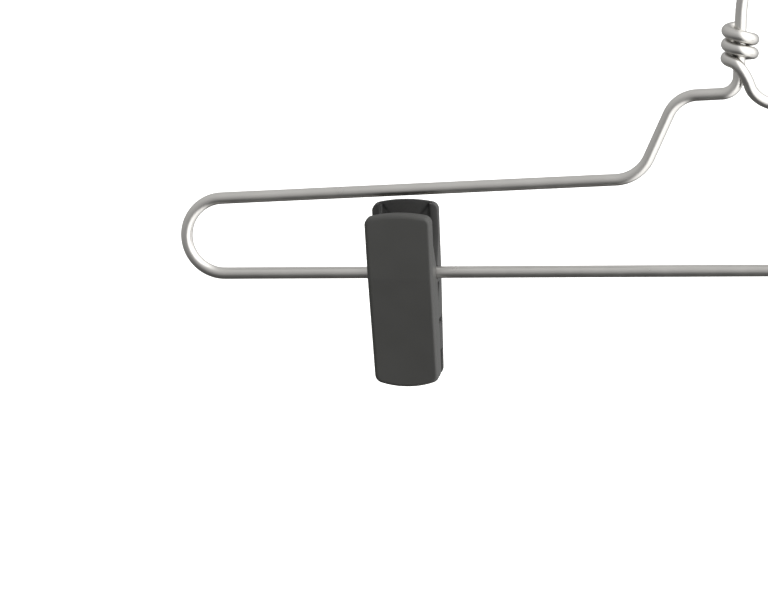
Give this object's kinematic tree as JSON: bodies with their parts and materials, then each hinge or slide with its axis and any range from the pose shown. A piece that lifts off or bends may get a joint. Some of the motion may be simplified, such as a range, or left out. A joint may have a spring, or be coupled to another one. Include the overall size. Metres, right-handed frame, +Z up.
{
  "type": "clothes hanger",
  "caption": "Bent aluminium wire hanger with a wound neck, a straight lower bar and sprung pinch clips that slide along it to hold trousers or a skirt.",
  "frame": {"origin": "inside of the hook's crown, where the rail carries the hanger", "axes": "+X along the lower bar, +Y from front to back across the clips, +Z up"},
  "size_m": [0.3806, 0.0231, 0.1957],
  "materials": {
    "satin_aluminium": "satin anodised drawn wire",
    "clip_moulding": "dark grey injection-moulded ABS with a fine satin grain",
    "grip_rubber": "black moulded rubber, ribbed on the gripping face",
    "nylon": "natural nylon",
    "spring_steel": "bright drawn spring wire"
  },
  "bodies": {
    "frame": {"wire_frame": "satin_aluminium"},
    "left_carrier": {"left_bush": "nylon"},
    "left_rear": {"left_rear_shell": "clip_moulding", "left_rear_pad": "grip_rubber", "left_spring": "spring_steel"},
    "left_front": {"left_front_shell": "clip_moulding", "left_front_pad": "grip_rubber"},
    "right_carrier": {"right_bush": "nylon"},
    "right_rear": {"right_rear_shell": "clip_moulding", "right_rear_pad": "grip_rubber", "right_spring": "spring_steel"},
    "right_front": {"right_front_shell": "clip_moulding", "right_front_pad": "grip_rubber"}
  },
  "joints": [
    {"name": "left_slide", "type": "slide", "parent": "frame", "child": "left_carrier", "axis": [1, 0, 0], "range_m": [-0.006, 0.1]},
    {"name": "left_swing", "type": "hinge", "parent": "left_carrier", "child": "left_rear", "pos_m": [-0.114, 0, -0.15275], "axis": [1, 0, 0], "range_deg": [-125, 112]},
    {"name": "left_jaw", "type": "hinge", "parent": "left_rear", "child": "left_front", "pos_m": [-0.114, 0, -0.15275], "axis": [-1, 0, 0], "range_deg": [0, 25], "stiffness_Nm_per_rad": 0.25, "springref_deg": -34.38, "deforming": ["left_spring"]},
    {"name": "right_slide", "type": "slide", "parent": "frame", "child": "right_carrier", "axis": [1, 0, 0], "range_m": [-0.1, 0.006]},
    {"name": "right_swing", "type": "hinge", "parent": "right_carrier", "child": "right_rear", "pos_m": [0.114, 0, -0.15275], "axis": [1, 0, 0], "range_deg": [-125, 112]},
    {"name": "right_jaw", "type": "hinge", "parent": "right_rear", "child": "right_front", "pos_m": [0.114, 0, -0.15275], "axis": [-1, 0, 0], "range_deg": [0, 25], "stiffness_Nm_per_rad": 0.25, "springref_deg": -34.38, "deforming": ["right_spring"]}
  ]
}
